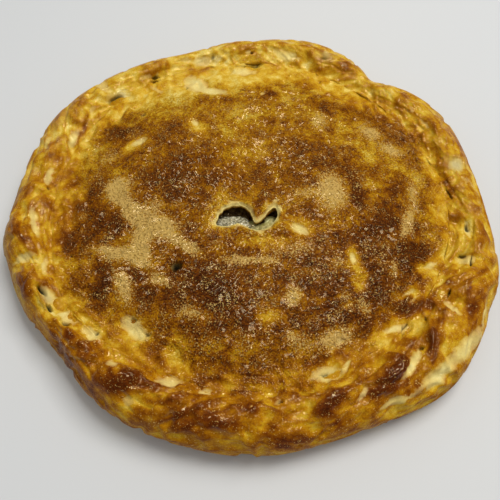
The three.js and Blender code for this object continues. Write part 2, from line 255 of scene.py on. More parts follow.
def outline_radius(azimuth):
    return PIE_RADIUS + sum_of_lobes(OUTLINE_LOBES, azimuth)


def crease_radius(azimuth):
    return CREASE_RADIUS + sum_of_lobes(CREASE_LOBES, azimuth)


def from_rim_place(azimuth, reach, at, radius):
    """Distances round the rim and outwards from a place on it."""
    return np.radians(turn_between(at, azimuth)) * radius, reach - radius


def fold_relief(azimuth, reach):
    relief = np.zeros_like(reach)
    for at, radius, half_length, half_width, lean, lift in FOLDS:
        around, out = from_rim_place(azimuth, reach, at, radius)
        relief += lift * hump(oval_distance(around, out, half_length, half_width, lean), 1)
    return relief


def azimuth_of(x, y):
    return np.degrees(np.arctan2(y, x))


def dome_share(x, y):
    flat_from = crease_radius(azimuth_of(x, y)) - LID_FLAT_INSIDE_CREASE
    share = np.minimum(np.hypot(x, y) / flat_from, 1)
    return (1 - share**2) ** LID_FULLNESS


def smooth_dome(x, y):
    return LID_EDGE_TOP + (LID_CROWN - LID_EDGE_TOP) * dome_share(x, y)


def fold_share_of_lid(x, y):
    """How much of the folds and swells shows on the lid: nothing at its edge."""
    return np.minimum(dome_share(x, y) * 5, 1)


def lid_top(x, y):
    relief = fold_relief(azimuth_of(x, y), np.hypot(x, y)) + round_humps(LID_SWELLS, x, y)
    return smooth_dome(x, y) + fold_share_of_lid(x, y) * relief + round_humps(VENT_TONGUE, x, y)


def lid_underside(x, y):
    return smooth_dome(x, y) - LID_THICKNESS + round_humps(VENT_TONGUE, x, y)


def filling_top(x, y):
    from_vent = np.hypot(x - VENT_CENTRE[0], y - VENT_CENTRE[1])
    hollow = VENT_HOLLOW_DEPTH * np.exp(-((from_vent / VENT_HOLLOW_REACH) ** 4))
    return smooth_dome(x, y) - LID_THICKNESS - FILLING_GAP - hollow


# ---- browning, placed one by one
#
# Browning is 0 on raw cream dough, about 0.4 on gold, 0.65 on amber brown and 1 where nearly burnt.
# Patches of the lid: x, y, half length, half width, strength, and turn where there is one.

DARK_PATCHES = [
    # far left
    (-86, 50, 9, 7, 0.18), (-76, 50, 9, 4, 0.16), (-94, 47, 6, 5, 0.14), (-93, 62, 6, 6, 0.1),
    (-47, 55, 10, 6, 0.08), (-54, 45, 10, 5, 0.08), (-26, 75, 9, 3, 0.14), (-9, 77, 12, 3, 0.14),
    (-50, 12, 12, 8, 0.18), (-36, 27, 12, 7, 0.14), (-32, 8, 10, 8, 0.14), (-68, 16, 8, 5, 0.14),
    (-64, 6, 5, 6, 0.14), (-94, 0, 6, 10, 0.16), (-112, 16, 6, 7, 0.16), (-46, -2, 8, 7, 0.12),
    (-84, 34, 6, 4, 0.08), (-74, 29, 7, 3, 0.1),
    # far right
    (14.5, 83, 6, 4, 0.44), (14, 58, 8, 6, 0.1), (37, 80, 9, 5, 0.1), (52, 72, 4, 9, 0.14, 15),
    (75, 80, 9, 8, 0.2, -30), (87, 63, 9, 8, 0.18, -45), (98, 50, 6, 8, 0.14, 20), (33, 33, 10, 11, 0.12),
    (48, 22, 9, 7, 0.14), (6, 14, 7, 5, 0.1), (66, 0, 3.6, 9, 0.26), (88, 3, 9, 4, 0.14),
    (60, 12, 6, 6, 0.12), (26, 12, 9, 6, 0.1), (42, 97, 12, 6, 0.18, -10), (84, 47, 6, 5, 0.1),
    (82, 24, 5, 5, 0.14), (36, 6, 10, 5, 0.08),
    # near left
    (-106, -26, 10, 9, 0.16), (-90, -19, 7, 11, 0.18, 10), (-76, -23, 9, 5, 0.24, -5),
    (-108, -7, 7, 9, 0.2), (-84, -50, 9, 6, 0.24, -30), (-82, -62, 4, 9, 0.2), (-66, -55, 8, 3.6, 0.22, -40),
    (-13, -71, 10, 12, 0.22), (-13, -66, 6, 8, 0.14), (-33, -12, 7, 6, 0.08), (-49, -93, 6, 4, 0.2),
    (-35, -66, 11, 5, 0.12), (-29, -88, 7, 4, 0.1), (-35, -45, 8, 4, 0.1), (-58, -68, 6, 6, 0.1),
    (-24, -60, 8, 6, 0.14), (-48, -84, 5, 4, 0.12), (-36, -28, 5, 4, 0.1), (0, -86, 7, 6, 0.12),
    # near right
    (76, -25, 17, 4.2, 0.26, 28), (65, -9, 4.5, 8, 0.14), (94, -30, 5, 7, 0.2, 20), (103, -36, 5, 6, 0.22),
    (87, -43, 8, 6, 0.18), (70, -38, 9, 4, 0.12), (72, -53, 5, 9, 0.18), (37, -62, 14, 5, 0.18),
    (44, -71, 4, 8, 0.16), (88, -72, 12, 4.4, 0.28, 8), (72, -68, 7, 5, 0.16), (5, -68, 7, 9, 0.12),
    (22, -73, 8, 5, 0.1), (33, -85, 8, 3, 0.16), (54, -81, 8, 3, 0.2), (80, -11, 5, 6, 0.16),
    (60, -78, 7, 4, 0.12), (20, -57, 9, 4, 0.08), (21.5, -22, 3, 5, 0.2), (32, -47, 10, 4, 0.16),
    (52, -58, 5, 5, 0.12), (106, -72, 7, 7, 0.12), (40, -36, 14, 5, 0.08), (46, -101, 10, 3, 0.18, 10),
    # broad shades
    (-30, -56, 26, 17, 0.11, -10), (-12, -74, 16, 16, 0.08), (55, -44, 36, 14, 0.1),
    (86, -24, 14, 18, 0.08), (-96, -16, 16, 20, 0.04), (-44, 14, 22, 18, 0.03), (64, -66, 30, 12, 0.06),
    (94, -52, 18, 16, 0.05),
]
SANDY_PATCHES = [
    (-81, 4, 8, 8, 1, -50), (-70, -12, 16, 5.5, 1, -52), (-62, -33, 6, 12, 1, -5),
    (-76, -39, 16, 4.4, 1, -8), (-62, -46, 5, 5, 0.9), (-49, -26, 13, 6, 1, -42),
    (-33, -40, 9, 2.6, 0.7, -35), (-57, -11, 6, 5, 0.5), (-71, -60, 12, 4.2, 0.9, -60),
    (-33, -78, 8, 4.5, 0.6, -40), (-49, -58, 8, 4, 0.7, -30), (-4, -48, 11, 2.6, 0.7, -4),
    (-88, 30, 6, 7, 0.4), (80, 52, 7, 8, 0.85), (92, 38, 8, 5, 0.8, -20), (46, 60, 5, 8, 0.6),
    (50, 0, 8, 13, 1), (33, -3, 8, 5, 0.45), (102, 4, 4, 11, 0.5), (96, -15, 4, 10, 0.7, -15),
    (26, -40, 12, 5, 0.42), (25, -68, 5, 6, 0.8), (50, -48, 4, 7, 0.4), (64, -73, 3.6, 5, 0.5),
    (83, -50, 3.6, 9, 0.4), (54, -70, 4, 6, 0.4), (46, -91, 9, 5, 0.9, 16), (26, -93, 7, 6, 0.5),
    (92, -25, 3.6, 6, 0.4), (12, -48, 7, 3, 0.5),
]
YELLOW_PATCHES = [
    (-72, 38, 9, 5, 1, 32), (-33, 52, 10, 4.6, 1, 121), (30, -27, 9, 6.5, 1, -30), (60, -45, 4.4, 8, 1),
    (62, -61, 3, 3.6, 0.7), (92, -63, 8, 2.6, 1, 30), (106, -45, 9, 3.6, 1, 38), (83, -84, 9, 3, 1, 15),
    (12, -79, 6, 4, 0.7), (30, -110, 8, 4, 0.6), (-62, -83, 13, 7.5, 1, -43), (-22, 87, 14, 4.5, 0.8, -14),
    (-40, 96, 15, 6, 0.7, -40), (9, -36, 12, 3.4, 0.45), (96, -80, 4, 6, 0.6),
]
# Lighter and more golden than the lid round them.
GOLDEN_PATCHES = [
    (-12, 47, 12, 13, 0.2), (-2, 25, 11, 8, 0.22), (-14, -5, 8, 5, 0.2), (-97, 30, 8, 12, 0.12),
    (28, 85, 8, 9, 0.18), (34, 68, 14, 5, 0.1), (60, 60, 7, 6, 0.2), (46, 60, 6, 7, 0.16),
    (61, 41, 10, 5, 0.22), (76, 30, 8, 8, 0.24), (106, 19, 7, 8, 0.22), (94, 28, 7, 6, 0.16),
    (-24, 30, 6, 6, 0.1), (2, 61, 15, 6, 0.2), (76, 4, 6, 9, 0.2), (-25, -22, 5, 10, 0.16),
    (-38, -99, 9, 8, 0.2), (-60, -98, 7, 7, 0.12), (-100, -46, 9, 6, 0.16), (-92, -80, 9, 7, 0.2, -40),
    (-10, -96, 10, 8, 0.14), (68, -93, 11, 5, 0.22, 10), (86, -79, 6, 3, 0.16), (12, -79, 8, 5, 0.16),
    (14, -99, 10, 6, 0.16), (-50, -45, 12, 7, 0.1, -20), (-116, -40, 8, 8, 0.16), (110, -14, 6, 14, 0.12),
    (12, -36, 18, 5, 0.18), (62, -50, 5, 12, 0.18), (-42, 68, 34, 10, 0.16), (108, -58, 7, 8, 0.2),
    (10, 74, 26, 8, 0.08), (66, 50, 22, 10, 0.06, -30), (-104, 44, 9, 14, 0.08), (-24, 88, 22, 6, 0.16),
    (16, 48, 10, 7, 0.12), (-84, 16, 6, 5, 0.12), (-48, 82, 9, 6, 0.12), (94, 84, 8, 8, 0.14),
]
# Raw dough that the heat and the glaze didn't reach.
PALE_PATCHES = [
    (-69.5, 40, 6.5, 3.4, 1, 32), (-35, 55, 5, 2.6, 0.9, 121), (29.5, -28, 6.5, 4, 1, -30),
    (59.5, -45.5, 2.8, 4.4, 1), (107, -44, 6, 2, 0.9, 38), (91, -63, 6, 1.6, 0.8, 30),
    (81, -83.5, 8.5, 2.4, 1, 14), (-37, 98, 15, 9, 1, -50), (-22, 87, 11, 4, 0.8, -18),
    (-3, 111, 12, 6, 0.9, -5), (48, -93, 6, 2.6, 0.6, 20), (-62, -83.5, 12, 5.4, 1, -43),
    (-40.5, -51, 3.8, 3.2, 0.7), (-70.5, 66.5, 3, 2.6, 0.6), (9, 84, 2.4, 2.4, 0.7),
    (-64, 94, 10, 4, 0.7, -40),
]
# Pinholes and short slits, whose dark inside is painted in as shade.
HOLES = [
    (-40.5, -51, 3.4, 2.6, 1, 25), (-63.5, -79.5, 1.6, 1.3, 1), (-55, -88, 1.6, 1, 0.8, -40),
    (-104, -38, 0.8, 0.8, 0.8), (-70.5, 66.5, 1.2, 1, 1), (-88.5, 57.5, 0.9, 0.8, 0.8),
    (-78, 64, 0.8, 0.8, 0.7), (-66, 103, 3.2, 0.7, 0.9), (-43, 94, 2, 0.6, 0.8, 85),
    (-4, 87, 2.6, 0.6, 0.6, 25), (28, 109, 1, 0.8, 0.7), (50, 102, 1, 0.8, 0.7),
    (44, -108.5, 5, 0.7, 0.8, 22), (86.5, -82, 4, 0.6, 0.8, 50), (97, -78.5, 0.9, 0.9, 0.8),
    (91.5, -96.5, 1.1, 0.9, 0.8), (0, 118.4, 9, 0.8, 0.9, 1),
]

# The same on the rim: azimuth, reach, half length round the rim, half width, strength, and any lean.
DARK_PATCHES_OF_RIM = [
    (203, 141, 10, 4, 0.18), (222.5, 132, 4, 4, 0.26), (222, 143, 14, 6, 0.18), (197, 131, 4, 2.5, 0.16),
    (190, 138, 13, 3.6, 0.18, -10), (241, 134, 15, 4.6, 0.34, -25), (232, 148, 9, 5, 0.16),
    (248, 148, 6, 6, 0.16), (258.5, 141, 12, 7, 0.26), (288, 135, 11, 3.6, 0.34, -20),
    (303.5, 137, 15, 4.6, 0.38, -17), (316, 137, 9, 3.6, 0.3, -30), (276, 148, 14, 6, 0.22),
    (288, 146, 9, 3.5, 0.14, -10), (306, 146, 9, 3, 0.16, -10), (329, 144, 6, 4, 0.2),
    (346, 143, 5, 5, 0.12), (298, 127, 8, 3, 0.14, -8), (312, 128, 7, 3, 0.12, -10),
    (58, 134, 6, 5, 0.12), (38.5, 142, 5, 9, 0.1), (17, 147, 7, 8, 0.1), (75, 140, 12, 6, 0.06),
    (166, 129.5, 5, 3, 0.22), (162, 133.5, 9, 2.6, 0.14, -8), (173, 134, 4, 3.4, 0.12),
    (153, 123, 7, 2, 0.2), (5, 125, 9, 1.8, 0.14, -15), (24, 126, 9, 1.8, 0.12, -6), (44, 122, 5, 2, 0.1),
    (246, 114, 12, 3, 0.16, 10), (262, 118, 4.5, 5, 0.16), (271, 131, 5, 4, 0.1), (216, 108, 14, 3, 0.14),
    (334, 127, 9, 2, 0.12), (283, 125, 7, 3, 0.1), (180, 137, 8, 5, 0.08), (320, 117, 7, 3.4, 0.16, 25),
    (329, 113, 7, 4, 0.16, 25), (345, 114, 9, 4, 0.16, 20), (305, 112, 9, 4, 0.12, 20),
    (31, 114, 12, 4, 0.08), (146, 112, 7, 6, 0.14), (171, 113, 8, 6, 0.14), (194, 113, 8, 5, 0.14),
    (107, 118, 12, 4, 0.18), (229, 128, 6, 5, 0.2), (303.5, 132, 11, 4, 0.22, -17), (260, 133, 5, 5, 0.14),
    # broad shades
    (333, 137, 34, 14, 0.08), (225, 151, 40, 10, 0.1), (178, 125, 24, 10, 0.07), (265, 138, 30, 9, 0.06),
    (300, 140, 24, 9, 0.05),
]
PALE_PATCHES_OF_RIM = [
    (188, 129.5, 14, 3.2, 0.9, -14), (186, 137, 8, 3, 0.5, -6), (198, 139, 3, 11, 0.9, 6),
    (201.5, 126, 7, 2.2, 0.8, 10), (210, 129.5, 7, 4.4, 1, -20), (218, 127.5, 6.5, 3.8, 1, -8),
    (225, 123, 7, 3, 0.9, -5), (236, 127, 4, 4, 0.9, 15), (243.5, 142, 5, 7, 0.6, -30),
    (250, 122, 8, 4, 1, -3), (259.5, 121.5, 4, 2.4, 0.9), (277, 127, 4, 3.4, 0.6),
    (290.5, 117.6, 9, 4.6, 1, 4), (297, 117.5, 5, 1.7, 0.8, -20), (296, 136, 6.5, 2.6, 0.8, -28),
    (309, 137.5, 12, 3.2, 1, -24), (315, 119.5, 7, 2.4, 0.9, 25), (301, 148.5, 13, 4, 0.8, 8),
    (312, 151, 14, 5.5, 0.95, 3), (322, 155, 14, 7.5, 1, 15), (331, 158, 11, 7, 0.9, 15),
    (327, 135, 2.4, 7, 0.9, 20), (341.5, 133, 4, 7.5, 0.8), (350.5, 131.5, 7, 2, 0.9, -8),
    (5, 136, 10, 5, 0.5), (11, 134.5, 5, 6.5, 1), (18, 139, 5, 4, 0.35), (27, 131, 6, 2.2, 0.6),
    (33, 131, 7, 2.2, 0.5, 10), (46.5, 138, 4, 8, 0.5), (53, 137, 4, 5, 0.35), (65.5, 136, 5, 8, 0.65),
    (77, 126, 10, 4, 0.85), (83, 130, 8, 4, 0.5), (90, 126, 4.5, 1.8, 0.7), (105, 125, 8, 3.6, 0.8),
    (111, 128, 9, 4, 0.55), (124, 126, 12, 2.4, 0.6), (137, 140, 5.5, 14, 0.75), (146, 128, 9, 3, 0.6),
    (157, 124.5, 9, 3, 0.9, -8), (162, 138.5, 10, 3, 0.7, -15), (171, 139, 8, 8, 0.5),
    (172, 126.5, 8, 3, 0.8), (324.5, 114.5, 7, 2.6, 0.5, 25), (336, 116, 10, 2.8, 0.5, 25),
    (356, 116, 9, 2.6, 0.5, 20), (283, 116, 5, 3, 0.3),
]
HOLES_OF_RIM = [
    (208.5, 132, 3.6, 1.8, 1, -30), (213, 131, 2.2, 1.7, 1), (219.5, 129.5, 2, 1.5, 1),
    (226.5, 121, 0.9, 0.8, 0.9), (277.5, 127, 1.4, 0.9, 0.8), (291, 118, 4.5, 0.6, 0.8, 12),
    (314.5, 122.3, 3, 0.7, 0.9), (330, 129.5, 2.8, 0.6, 0.9), (341, 135.5, 3.4, 0.6, 0.9, -8),
    (342.2, 130, 0.8, 2, 0.9), (351, 131.5, 2.2, 0.6, 0.8, -8), (362.5, 124.4, 4.8, 0.7, 0.7, -12),
    (137, 124.5, 5.5, 1.8, 0.9, 5), (122, 124, 3.2, 1, 0.8, 12), (88, 119.5, 7, 1, 0.8),
    (89, 126.5, 1, 0.8, 0.9), (10, 142.5, 2.4, 0.6, 0.5, -10), (66, 130, 2.2, 0.8, 0.5),
    (102, 126, 1.4, 1.8, 0.5, 20), (176, 125, 1.6, 0.6, 0.6),
]
# Where the dough is thin and greyish over the filling, and floury on the shaded side of the wall.
GREY_PATCHES_OF_RIM = [
    (211, 130, 4, 3, 0.8, -20), (11, 134.5, 5, 6, 0.9), (65, 131, 6, 3, 0.5), (137, 126.5, 6, 3, 0.5, 5),
    (190, 151, 14, 7, 0.6), (205, 152, 18, 7, 0.45), (222, 152, 14, 6, 0.2), (175, 148, 18, 7, 0.45),
    (152, 142, 22, 5, 0.3), (46, 137, 2.5, 4, 0.5), (105, 126, 6, 2.5, 0.4), (28, 148, 8, 9, 0.35),
]
# Sharp creases between folds, whose strength is their depth; on the rim they are also painted darker as
# shade in the creases.
PLEATS = [
    (252.5, 128.5, 9, 0.9, 1.3, -12), (266, 122, 7, 0.8, 0.8, 35), (270, 124, 7, 0.8, 0.8, 35),
    (274, 123, 6, 0.8, 0.7, 30), (283, 132, 10, 0.9, 0.9, -20), (297, 130, 11, 0.9, 0.9, -10),
    (309, 131, 10, 0.9, 1.1, -8), (322, 126, 9, 0.9, 0.9, -10), (350, 134.5, 9, 0.9, 0.9, 10),
    (0, 128.5, 7, 0.8, 0.8, -15), (14, 127, 6, 0.7, 0.6, -8), (7, 125, 6, 0.7, 0.6, -10),
    (27, 128, 6, 0.7, 0.6, -8), (35, 128, 7, 0.8, 0.8, -14), (42, 125, 6, 0.7, 0.6, -12),
    (93, 126, 5, 0.7, 0.5, 6), (118, 126, 8, 0.8, 0.7, 6), (137, 123, 8, 0.9, 1.1, 5),
    (150, 125.5, 8, 0.9, 0.9, -12), (158, 122.5, 8, 0.9, 0.9), (170, 122.7, 10, 0.9, 0.9, 4),
    (185, 121.5, 11, 0.9, 0.9, 2), (196, 124, 9, 0.9, 0.9, -5), (203, 133, 8, 0.9, 0.9, 60),
    (230, 137, 9, 0.9, 0.8, -30), (246.5, 130, 10, 0.9, 1.1, -30), (268, 133, 9, 0.9, 0.6, -25),
    (293, 140, 10, 0.9, 0.8, -25), (314, 141, 9, 0.9, 0.9, -30), (336, 138, 8, 0.9, 0.8, 40),
    (60, 127, 7, 0.8, 0.6, 4), (215, 124, 8, 0.9, 0.9, 8), (242, 124, 9, 0.9, 0.7, 12),
    (178, 140, 9, 0.9, 0.6, 20), (164, 131.5, 8, 0.8, 0.7, -10), (153, 139, 8, 0.8, 0.7, -40),
    (256, 126, 8, 0.8, 0.8, -14), (277, 138, 8, 0.8, 0.6, -30), (303, 142, 10, 0.8, 0.8, -16),
]

# How sharply each kind of patch ends: softly at 2, and clearly at 5.
LID_SHADE_EDGE = 2.2
RIM_SHADE_EDGE = 2.6
PATCH_EDGE = 2.4
GREY_EDGE = 3
HOLE_EDGE = 5
PLEAT_EDGE = 1.6

# Layers of noise, each with its height, size and seed. A warp has one set each way.
WARP = [
    [(3.6, 17, 11), (2.4, 7, 12), (1.1, 3, 17)],
    [(3.6, 17, 13), (2.4, 7, 14), (1.1, 3, 18)],
]
SMALL_WARP = [[(0.5, 2.2, 15)], [(0.5, 2.2, 16)]]
GOLDEN_BAND_WOBBLE = [(7, 19, 41), (3.5, 7, 42)]
RAGGED_EDGE = [(0.22, 5, 46), (0.16, 2, 47)]
FILLING_GRAIN = [(0.5, 4, 51), (0.35, 1.8, 52)]

LID_BROWNING = 0.645
RIM_BROWNING = 0.45
# Painted light on the far side of the pie and painted shade on the near side of the rim, added to the
# browning.
FAR_SIDE_PAINTED_LIGHT = 0.14
NEAR_SIDE_PAINTED_SHADE = 0.06
LID_SLOPE_OF_PAINTED_LIGHT = 0.045  # painted light and shade: paler by this at the far side of the lid, and darker at the near side
MIDDLE_BROWNING = 0.56
MORE_CONTRAST = 0.12  # of what lies away from the middle browning
DARKEST_CRUST = 0.83
BROWNING_HELD_BACK = 0.65  # of what is darker than the darkest crust
# Darker ring round each pale patch: partly browned edge, partly painted shade where the surface steps down
# into the pale hollow.
BROWNED_AND_SHADED_EDGE_OF_PALE = 0.5
# Zones: how far beyond the crease each begins and is full, and the same by reach for the wall's.
GOLDEN_ZONE = (-12, 6)
RIM_ZONE = (-10, 2)
FOLDED_ZONE = (-34, -4)
LOW_ZONE_OF_WALL = (136, 148)
# where light and shade are painted: azimuth, spread, and the reaches at which it begins and is full
FAR_SIDE = (105, 60, 60, 110)
NEAR_SIDE = (268, 45, 100, 125)
STREAKED_DOUGH = [(60, -70, 50, 1)]  # x, y, reach, strength
# The brown of the lid ends this far inside the crease, and further in where a lobe says so.
GOLDEN_BAND = 5
GOLDEN_BAND_LOBES = [(100, 34, 20), (182, 14, 6), (232, 9, 5), (30, 20, -5), (150, 8, -6), (275, 20, -3)]


def vent_ring(count):
    """The vent's edge in count points, torn a little unevenly."""
    closed = np.array([VENT_EDGE[-1], *VENT_EDGE, *VENT_EDGE[:2]], float)
    last = VENT_CURVE_SAMPLES * (len(VENT_EDGE) + 1) + 1
    curve = catmull_rom(closed, VENT_CURVE_SAMPLES)[VENT_CURVE_SAMPLES:last]
    ring = evenly_spaced(curve, count + 1)[:-1]
    places = np.column_stack([ring, np.zeros(count)])
    tear = np.stack([noise(places, 2.6, 61), noise(places, 2.6, 62)], axis=1)
    return ring + VENT_TEAR * tear


def distance_to_vent(x, y):
    ring = vent_ring(VENT_STEPS_FOR_DISTANCE)
    distance = np.full(x.shape, FAR_FROM_VENT)
    near = np.hypot(x - VENT_CENTRE[0], y - VENT_CENTRE[1]) < NEAR_VENT
    gaps = np.hypot(x[near][:, None] - ring[:, 0], y[near][:, None] - ring[:, 1])
    distance[near] = gaps.min(axis=1)
    return distance


class Crust:
    """What the oven made of each point of the crust, with painted light and shade, and the small relief that
    goes with it.

    places are the points without small relief, and azimuth and reach say where each one is."""

    def __init__(self, places, azimuth, reach):
        self.places, self.azimuth, self.reach = places, azimuth, reach
        self.x = reach * np.cos(np.radians(azimuth)) + AXIS_X
        self.y = reach * np.sin(np.radians(azimuth)) + AXIS_Y
        self.beyond_crease = reach - crease_radius(azimuth)
        self.from_vent = distance_to_vent(self.x - AXIS_X, self.y - AXIS_Y)
        self.warp = warp_of(places, WARP)
        self.small_warp = warp_of(places, SMALL_WARP)
        self.find_zones()
        self.find_patches()
        self.find_texture()
        self.brown()
        self.find_finish()
        self.raise_relief()

    def lid_cover(self, patches, edge, warp):
        x, y = self.x + warp[0], self.y + warp[1]
        return sum(patch_cover(x - at_x, y - at_y, edge, *patch) for at_x, at_y, *patch in patches)

    def from_place(self, at, radius, warp):
        around, out = from_rim_place(self.azimuth, self.reach, at, radius)
        return around + warp[0], out + warp[1]

    def rim_cover(self, patches, edge, warp):
        return sum(
            patch_cover(*self.from_place(at, radius, warp), edge, *patch) for at, radius, *patch in patches
        )

    def with_ragged_edge(self, cover):
        """The same cover, ending at a clear but uneven edge."""
        cover = np.clip(cover, 0, 1)
        return cover * smooth_step(0.26, 0.56, cover + layered(self.places, RAGGED_EDGE))

    def laps(self):
        """Beyond each pleat the dough laps over it and lies a little higher."""
        total = np.zeros_like(self.x)
        for at, radius, half_length, _, depth, *lean in PLEATS:
            along, across = turned(*self.from_place(at, radius, self.small_warp), *lean)
            swell = smooth_step(0, 1, across) * np.exp(-np.maximum(across, 0) / LAP_WIDTH)
            total += LAP_SHARE * depth * swell * hump(along, half_length)
        return total

    def rim_streaks(self, length, width, seed):
        """Noise drawn out along the rim."""
        around = np.radians(self.azimuth)
        wavy = self.reach + 7 * np.sin(around * 7) + 4 * np.sin(around * 11 + 1)
        drawn = ring_places(CREASE_RADIUS, self.azimuth, wavy) / (length, length, width)
        return noise(drawn, 1, seed)

    def lid_streaks(self, turn, length, width, seed):
        """Noise drawn out across the lid in one direction."""
        along, across = turned(self.x, self.y, turn)
        drawn = np.stack([along, across, self.places[:, 2]], axis=1) / (length, width, length)
        return noise(drawn, 1, seed)

    def share_of_side(self, azimuth, spread, begins, full):
        return hump(turn_between(azimuth, self.azimuth), spread) * smooth_step(begins, full, self.reach)

    def find_zones(self):
        golden_from = GOLDEN_BAND + sum_of_lobes(GOLDEN_BAND_LOBES, self.azimuth)
        wobble = layered(self.places, GOLDEN_BAND_WOBBLE)
        self.towards_rim = smooth_step(*GOLDEN_ZONE, self.beyond_crease + golden_from + wobble)
        self.near_rim = smooth_step(*RIM_ZONE, self.beyond_crease)
        self.folded_zone = smooth_step(*FOLDED_ZONE, self.beyond_crease)
        self.low_on_wall = smooth_step(*LOW_ZONE_OF_WALL, self.reach)
        self.far_side = self.share_of_side(*FAR_SIDE)
        self.near_side = self.share_of_side(*NEAR_SIDE)
        self.lower_right = round_humps(STREAKED_DOUGH, self.x, self.y) * (1 - self.near_rim)
        self.vent_lip = hump(self.from_vent * (1 + 0.8 * noise(self.places, 4, 45)), 2.2)
        self.vent_collar = hump(self.from_vent + 1.2 * noise(self.places, 4, 43), 4.5)

    def find_patches(self):
        half_warp = 0.5 * self.warp
        slight_warp = 0.3 * self.warp + self.small_warp
        self.golden = self.lid_cover(GOLDEN_PATCHES, LID_SHADE_EDGE, half_warp)
        self.dark_on_rim = self.rim_cover(DARK_PATCHES_OF_RIM, RIM_SHADE_EDGE, half_warp)
        self.dark = self.lid_cover(DARK_PATCHES, LID_SHADE_EDGE, half_warp) + self.dark_on_rim
        self.sandy = np.clip(self.lid_cover(SANDY_PATCHES, PATCH_EDGE, half_warp), 0, 1)
        self.yellow = np.clip(self.lid_cover(YELLOW_PATCHES, PATCH_EDGE, half_warp), 0, 1)
        pale_on_rim = self.with_ragged_edge(self.rim_cover(PALE_PATCHES_OF_RIM, PATCH_EDGE, slight_warp))
        pale_on_lid = self.with_ragged_edge(self.lid_cover(PALE_PATCHES, PATCH_EDGE, slight_warp))
        self.pale = np.maximum(np.maximum(pale_on_rim, pale_on_lid), self.vent_lip)
        self.grey = np.clip(self.rim_cover(GREY_PATCHES_OF_RIM, GREY_EDGE, half_warp), 0, 1)
        holes = self.lid_cover(HOLES, HOLE_EDGE, self.small_warp)
        holes += self.rim_cover(HOLES_OF_RIM, HOLE_EDGE, self.small_warp)
        self.holes = np.clip(holes, 0, 1)
        self.pleats = self.rim_cover(PLEATS, PLEAT_EDGE, self.small_warp)

    def find_texture(self):
        places = self.places
        self.folds = fold_relief(self.azimuth, self.reach)
        self.lumps = (
            0.60 * swirled(places, 15, 31) + 0.36 * swirled(places, 6.5, 32) + 0.16 * noise(places, 2.6, 33)
        )
        self.streaks = (self.rim_streaks(16, 3.2, 24) + 0.5 * self.rim_streaks(8, 1.3, 27)) * self.near_rim
        self.streaks += self.lid_streaks(22, 13, 2.4, 25) * self.lower_right
        self.creases = ridges(places, 15, 26) * self.folded_zone
        self.clouds = 0.07 * crisp(swirled(places, 13, 21)) + 0.055 * crisp(swirled(places, 6.5, 22))
        self.clouds += (0.08 - 0.03 * self.near_rim) * noise(places, 2.6, 23)

    # Sums the browning with painted light and shade: on the near and far sides, in the creases and round the
    # pale hollows.
    def brown(self):
        clouds, near_rim = self.clouds, self.near_rim
        browning_and_painted_light = between(LID_BROWNING, RIM_BROWNING, self.towards_rim) - self.golden + self.dark
        # painted shade on the near side and painted light on the far side
        browning_and_painted_light += NEAR_SIDE_PAINTED_SHADE * self.near_side - FAR_SIDE_PAINTED_LIGHT * self.far_side
        # painted light and shade sloping across the lid from its far side to its near side
        browning_and_painted_light -= LID_SLOPE_OF_PAINTED_LIGHT * np.clip(self.y / 90, -1, 1) * (1 - near_rim)
        browning_and_painted_light += clouds * (1 - 0.5 * self.sandy) + 0.12 * self.streaks + 0.06 * self.creases
        browning_and_painted_light += (0.03 + 0.02 * near_rim) * np.clip(self.folds + 1.2 * self.lumps, -2.5, 2)
        # painted shade in the sharp creases of the rim
        browning_and_painted_light += 0.10 * self.pleats * near_rim
        browning_and_painted_light += MORE_CONTRAST * (browning_and_painted_light - MIDDLE_BROWNING)
        browning_and_painted_light -= BROWNING_HELD_BACK * np.maximum(browning_and_painted_light - DARKEST_CRUST, 0)
        # cover, its own browning, how cloudy it is, how much it hides
        for cover, own_browning, cloudiness, most in [
            (self.vent_collar, 0.30, 0.6, 0.85),
            (self.yellow, 0.25, 0.8, 0.95),
            (self.sandy, 0.36, 0.6, 0.9),
            (self.pale, 0.13, 1.1, 1.0),
        ]:
            browning_and_painted_light += (own_browning + cloudiness * clouds - browning_and_painted_light) * most * cover
        # browned edge and painted shade round each pale hollow
        browning_and_painted_light += BROWNED_AND_SHADED_EDGE_OF_PALE * self.pale * (1 - self.pale)
        self.browning_and_painted_light = np.clip(browning_and_painted_light, 0, 1)

    def find_finish(self):
        """Sand, blisters and glaze, which lie differently on patches and round the vent."""
        on_lid = 1 - self.towards_rim
        grains = 0.18 * smooth_step(-0.2, 0.7, swirled(self.places, 12, 44)) * on_lid
        self.sandy = np.maximum(self.sandy, grains) * (1 - 0.8 * np.maximum(self.yellow, self.vent_collar))
        self.blisters = on_lid * (1 - 0.8 * np.maximum(self.yellow, self.pale))
        self.glaze = (1 - 0.6 * self.pale) * (1 - self.holes) * (1 - 0.85 * self.low_on_wall)

    def raise_relief(self):
        self.small_relief = (
            self.lumps
            + 1.2 * self.creases
            + 0.5 * self.streaks
            - HOLLOW_OF_PALE_DOUGH * self.pale * (1 - self.vent_lip)
            + SWELL_OF_DARK_DOUGH * np.clip(self.dark_on_rim * 3, 0, 1)
            - self.pleats
            + self.laps()
            + 0.9 * hump(self.from_vent - 2.5, 2.5)
            - 1.1 * hump(self.from_vent, 0.9)
            - DEPTH_OF_HOLES * self.holes
        )

    def attributes(self):
        return {
            "browning_and_painted_light": self.browning_and_painted_light, "sandy": self.sandy, "pale": self.pale,
            "grey": self.grey, "holes": self.holes, "blisters": self.blisters, "glaze": self.glaze,
        }


# ---- meshes


def put_in_scene(name, data):
    made = bpy.data.objects.new(name, data)
    bpy.context.scene.collection.objects.link(made)
    return made


